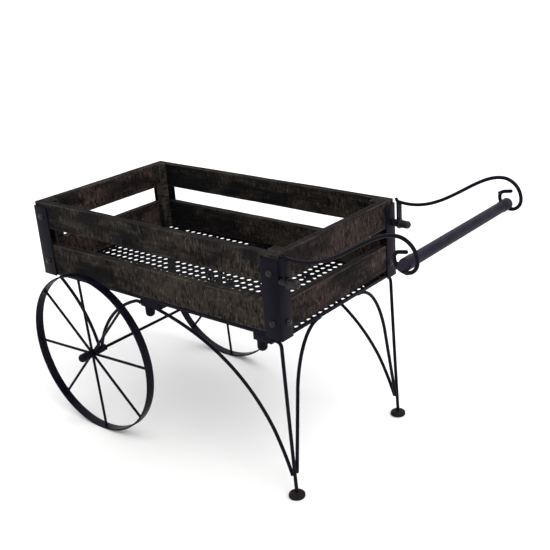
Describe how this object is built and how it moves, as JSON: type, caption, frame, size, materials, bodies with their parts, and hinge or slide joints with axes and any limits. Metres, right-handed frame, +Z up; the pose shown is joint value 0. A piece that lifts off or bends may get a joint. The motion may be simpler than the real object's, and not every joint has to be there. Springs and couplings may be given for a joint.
{
  "type": "push vending cart",
  "caption": "Small push cart for display and street selling: an open slatted wooden crate with a sheet floor on an iron frame, spoked front wheels, slim rear legs and a scrolled push handle.",
  "frame": {"origin": "on the ground, at the centre of the whole cart's footprint", "axes": "+X towards the push handle (rear), +Y to the pusher's right-hand side, +Z up; the wheels are at the -X end"},
  "size_m": [1.1665, 0.578, 0.6795],
  "materials": {
    "aged_wood": "weathered dark brown stain, rubbed grey on the edges",
    "black_iron": "satin black paint over forged iron, slightly worn",
    "grip_paint": "satin black paint, worn lighter where hands hold it",
    "floor_steel": "matte black perforated sheet",
    "foot_rubber": "matte, dusty"
  },
  "bodies": {
    "cart": {"axle": "black_iron", "axle_hanger_left": "black_iron", "axle_hanger_right": "black_iron", "axle_nut_left": "black_iron", "axle_nut_right": "black_iron", "axle_stay_left": "black_iron", "axle_stay_right": "black_iron", "bolt_end_lower_front_left": "black_iron", "bolt_end_lower_front_right": "black_iron", "bolt_end_lower_rear_left": "black_iron", "bolt_end_lower_rear_right": "black_iron", "bolt_end_upper_front_left": "black_iron", "bolt_end_upper_front_right": "black_iron", "bolt_side_lower_front_left": "black_iron", "bolt_side_lower_front_right": "black_iron", "bolt_side_lower_rear_left": "black_iron", "bolt_side_lower_rear_right": "black_iron", "bolt_side_upper_front_left": "black_iron", "bolt_side_upper_front_right": "black_iron", "bolt_side_upper_rear_left": "black_iron", "bolt_side_upper_rear_right": "black_iron", "corner_iron_front_left": "black_iron", "corner_iron_front_right": "black_iron", "corner_iron_rear_left": "black_iron", "corner_iron_rear_right": "black_iron", "corner_post_front_left": "aged_wood", "corner_post_front_right": "aged_wood", "corner_post_rear_left": "aged_wood", "corner_post_rear_right": "aged_wood", "end_brace_left": "black_iron", "end_brace_right": "black_iron", "end_plank_lower_front": "aged_wood", "end_plank_lower_rear": "aged_wood", "end_plank_upper_front": "aged_wood", "end_plank_upper_rear": "aged_wood", "floor_frame": "black_iron", "floor_mesh": "floor_steel", "foot_left": "foot_rubber", "foot_right": "foot_rubber", "handle_arm_left": "black_iron", "handle_arm_right": "black_iron", "handle_bolt_left": "black_iron", "handle_bolt_right": "black_iron", "handle_grip": "grip_paint", "hanger_nut_left": "black_iron", "hanger_nut_right": "black_iron", "leg_left": "black_iron", "leg_nut_left": "black_iron", "leg_nut_right": "black_iron", "leg_right": "black_iron", "side_brace_left": "black_iron", "side_brace_right": "black_iron", "side_plank_lower_left": "aged_wood", "side_plank_lower_right": "aged_wood", "side_plank_upper_left": "aged_wood", "side_plank_upper_right": "aged_wood"},
    "wheel_left": {"wheel_rim_left": "black_iron", "wheel_spokes_left": "black_iron"},
    "wheel_right": {"wheel_rim_right": "black_iron", "wheel_spokes_right": "black_iron"}
  },
  "joints": [
    {"name": "wheel_left_spin", "type": "hinge", "parent": "cart", "child": "wheel_left", "pos_m": [-0.3702, -0.247, 0.213], "axis": [0, 1, 0], "continuous": true},
    {"name": "wheel_right_spin", "type": "hinge", "parent": "cart", "child": "wheel_right", "pos_m": [-0.3702, 0.247, 0.213], "axis": [0, 1, 0], "continuous": true}
  ]
}
